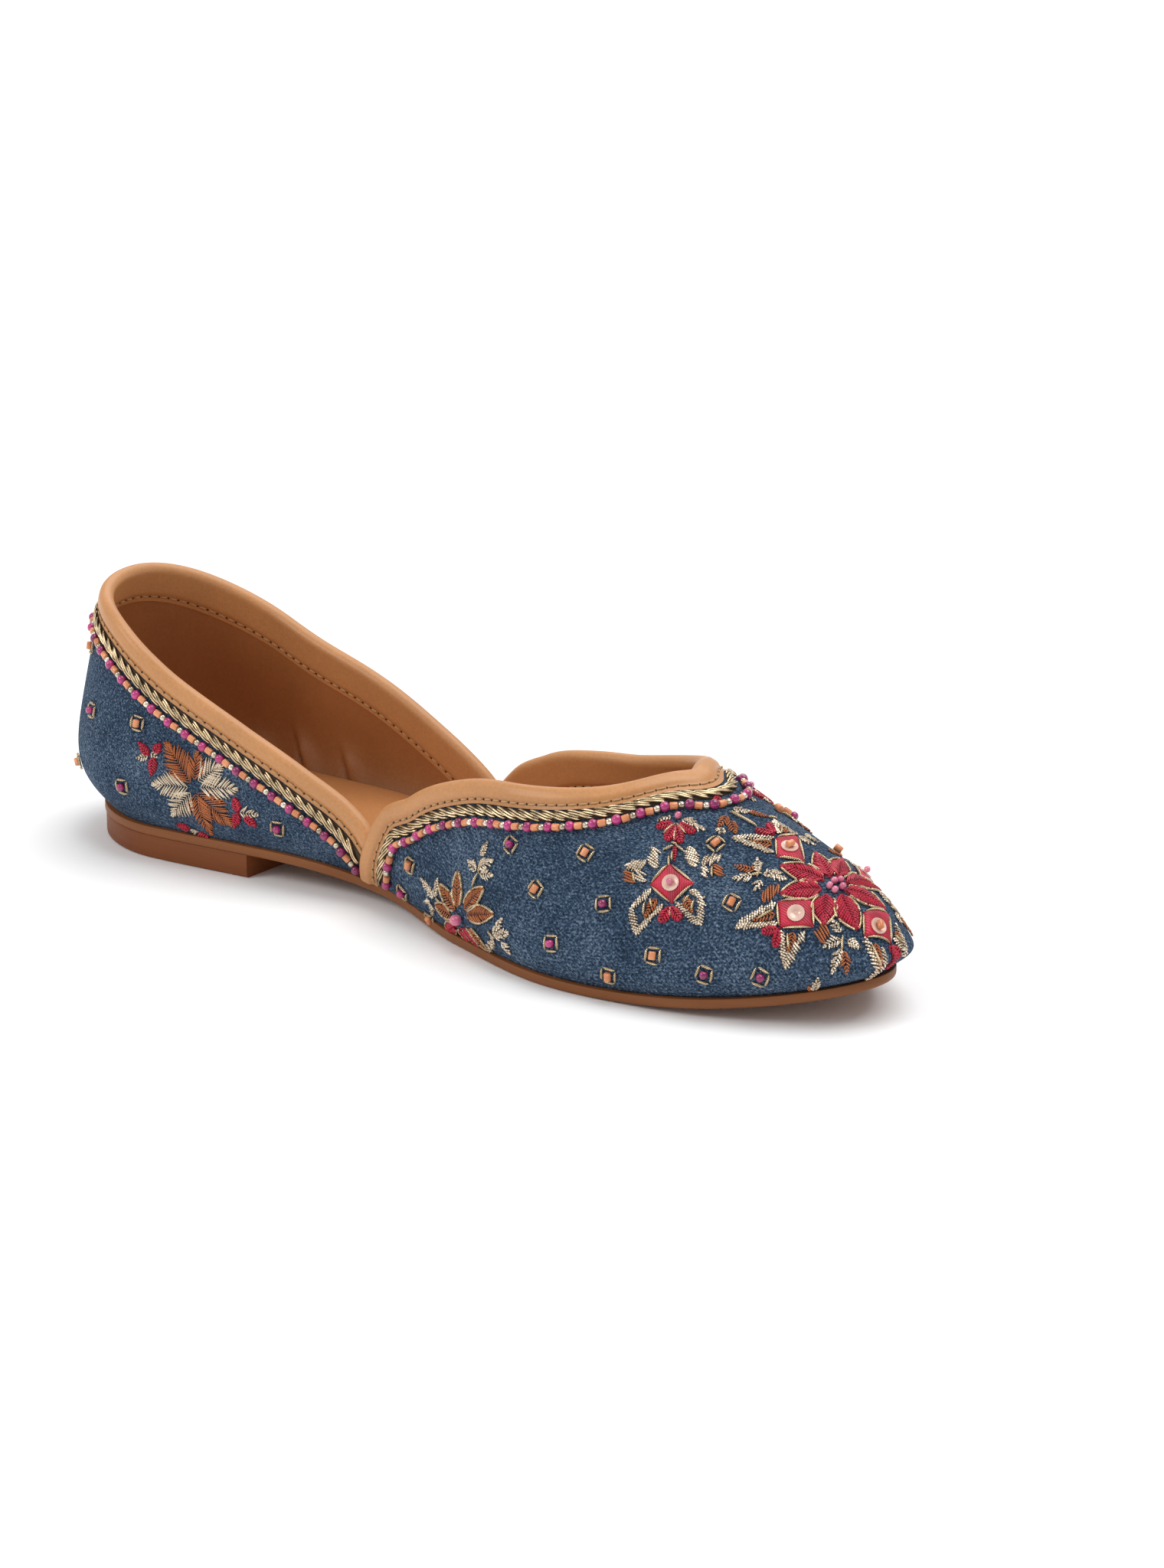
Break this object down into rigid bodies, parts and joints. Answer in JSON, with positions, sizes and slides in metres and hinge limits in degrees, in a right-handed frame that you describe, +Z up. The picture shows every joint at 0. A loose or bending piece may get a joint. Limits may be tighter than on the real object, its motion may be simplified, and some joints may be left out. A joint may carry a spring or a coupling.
{
  "type": "mojari shoe",
  "caption": "Left flat slip-on mojari shoe with cut-away sides, embroidered denim upper, leather topline binding and a low stacked heel.",
  "frame": {"origin": "middle of the heel's floor face, where the standing shoe's heel rests", "axes": "+X towards the toe, +Y to the wearer's left (the outer side of this left shoe), +Z up"},
  "size_m": [0.2595, 0.0784, 0.069],
  "materials": {
    "sole": "matt moulded tan-brown sheet with a smooth edge",
    "heel": "matt moulded tan-brown block",
    "insole": "smooth tan lining leather over thin foam",
    "denim": "washed mid-blue twill",
    "binding": "smooth tan leather with a soft sheen and stitching",
    "braid": "antique gold metal-thread braid",
    "beads": "magenta, peach and gold glass beads on thread"
  },
  "bodies": {
    "root": {"outsole": "sole", "heel_lift": "heel", "insole": "insole", "upper": "denim", "quarter_binding": "binding", "vamp_binding": "binding", "quarter_braid": "braid", "vamp_braid": "braid", "quarter_beads": "beads", "vamp_beads": "beads"}
  },
  "joints": []
}
